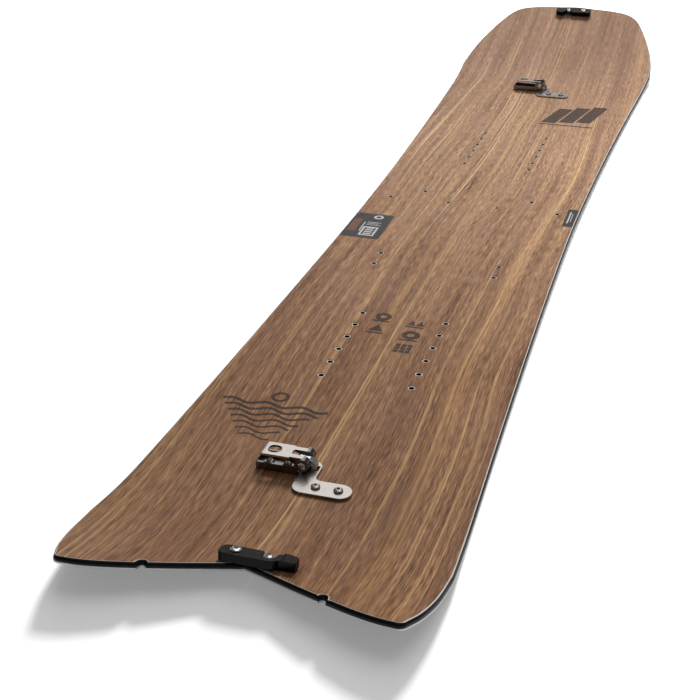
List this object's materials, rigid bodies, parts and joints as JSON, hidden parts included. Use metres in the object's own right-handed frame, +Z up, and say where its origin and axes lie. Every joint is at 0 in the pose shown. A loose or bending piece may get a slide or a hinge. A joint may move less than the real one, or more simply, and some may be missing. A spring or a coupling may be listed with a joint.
{
  "type": "splitboard",
  "caption": "Directional snowboard with a swallow tail that parts along its centre line into two touring planks, held by lever clips across the seam and swivelling hooks at both tips.",
  "frame": {"origin": "centre of the bounding box in plan, at the floor plane that the base's two contact strips rest on", "axes": "+X across the board towards its right half, +Y along the board towards the nose, +Z up out of the top sheet"},
  "size_m": [0.287, 1.56, 0.0651],
  "materials": {
    "veneer": "satin walnut veneer under clear matt lacquer",
    "core": "raw laminated wood",
    "base": "sintered black running base",
    "sidewall": "black plastic, sanded",
    "edge_steel": "ground steel",
    "insert": "bright steel",
    "stainless": "brushed stainless steel",
    "pin": "polished steel",
    "screw": "polished steel",
    "washer": "dark coated steel",
    "black": "satin black coated alloy"
  },
  "bodies": {
    "left_half": {"left_topsheet": "veneer", "left_wood_core": "core", "left_base_sheet": "base", "left_outer_sidewall": "sidewall", "left_seam_sidewall": "sidewall", "left_nose_spacer": "sidewall", "left_tail_spacer": "sidewall", "left_outer_steel_edge": "edge_steel", "left_seam_steel_edge": "edge_steel", "left_rear_insert_rail": "insert", "left_front_insert_rail": "insert", "left_touring_insert_rail": "insert", "left_heel_insert_rail": "insert", "rear_clip_base": "stainless", "rear_clip_rivet_tail_side": "pin", "rear_clip_rivet_nose_side": "pin", "rear_clip_base_screw_1": "pin", "rear_clip_base_screw_2": "pin", "front_clip_base": "stainless", "front_clip_rivet_tail_side": "pin", "front_clip_rivet_nose_side": "pin", "front_clip_base_screw_1": "pin", "front_clip_base_screw_2": "pin", "tail_hook_pivot_screw": "screw", "tail_hook_pivot_washer": "washer", "nose_hook_stud": "screw", "nose_hook_stud_collar": "washer"},
    "right_half": {"right_topsheet": "veneer", "right_wood_core": "core", "right_base_sheet": "base", "right_outer_sidewall": "sidewall", "right_seam_sidewall": "sidewall", "right_nose_spacer": "sidewall", "right_tail_spacer": "sidewall", "right_outer_steel_edge": "edge_steel", "right_seam_steel_edge": "edge_steel", "right_rear_insert_rail": "insert", "right_front_insert_rail": "insert", "right_touring_insert_rail": "insert", "right_heel_insert_rail": "insert", "rear_clip_catch_plate": "stainless", "rear_clip_catch_screw_1": "screw", "rear_clip_catch_screw_2": "screw", "front_clip_catch_plate": "stainless", "front_clip_catch_screw_1": "screw", "front_clip_catch_screw_2": "screw", "tail_hook_stud": "screw", "tail_hook_stud_collar": "washer", "nose_hook_pivot_screw": "screw", "nose_hook_pivot_washer": "washer"},
    "rear_lever": {"rear_clip_lever": "stainless", "rear_clip_link_pin": "pin"},
    "rear_draw_hook": {"rear_clip_draw_hook": "stainless"},
    "front_lever": {"front_clip_lever": "stainless", "front_clip_link_pin": "pin"},
    "front_draw_hook": {"front_clip_draw_hook": "stainless"},
    "tail_hook": {"tail_hook": "black"},
    "nose_hook": {"nose_hook": "black"}
  },
  "joints": [
    {"name": "split_slide", "type": "slide", "parent": "left_half", "child": "right_half", "axis": [1, 0, 0], "range_m": [0, 0.3]},
    {"name": "rear_lever_hinge", "type": "hinge", "parent": "left_half", "child": "rear_lever", "pos_m": [-0.005, -0.596, 0.01552], "axis": [0, 1, 0], "range_deg": [0, 100]},
    {"name": "rear_draw_hook_hinge", "type": "hinge", "parent": "rear_lever", "child": "rear_draw_hook", "pos_m": [-0.00895, -0.596, 0.01615], "axis": [0, 1, 0], "range_deg": [-125, 0]},
    {"name": "front_lever_hinge", "type": "hinge", "parent": "left_half", "child": "front_lever", "pos_m": [-0.005, 0.472, 0.01614], "axis": [0, 1, 0], "range_deg": [0, 100]},
    {"name": "front_draw_hook_hinge", "type": "hinge", "parent": "front_lever", "child": "front_draw_hook", "pos_m": [-0.00895, 0.472, 0.01677], "axis": [0, 1, 0], "range_deg": [-125, 0]},
    {"name": "tail_hook_hinge", "type": "hinge", "parent": "left_half", "child": "tail_hook", "pos_m": [-0.008, -0.7345, 0.01864], "axis": [0, 0.2251, 0.9743], "range_deg": [-100, 0]},
    {"name": "nose_hook_hinge", "type": "hinge", "parent": "right_half", "child": "nose_hook", "pos_m": [0.0145, 0.7555, 0.05552], "axis": [0, -0.2795, 0.9602], "range_deg": [-100, 0]}
  ],
  "couplings": [
    {"joint": "rear_draw_hook_hinge", "follows": "rear_lever_hinge", "ratio": -1.25},
    {"joint": "front_draw_hook_hinge", "follows": "front_lever_hinge", "ratio": -1.25}
  ]
}
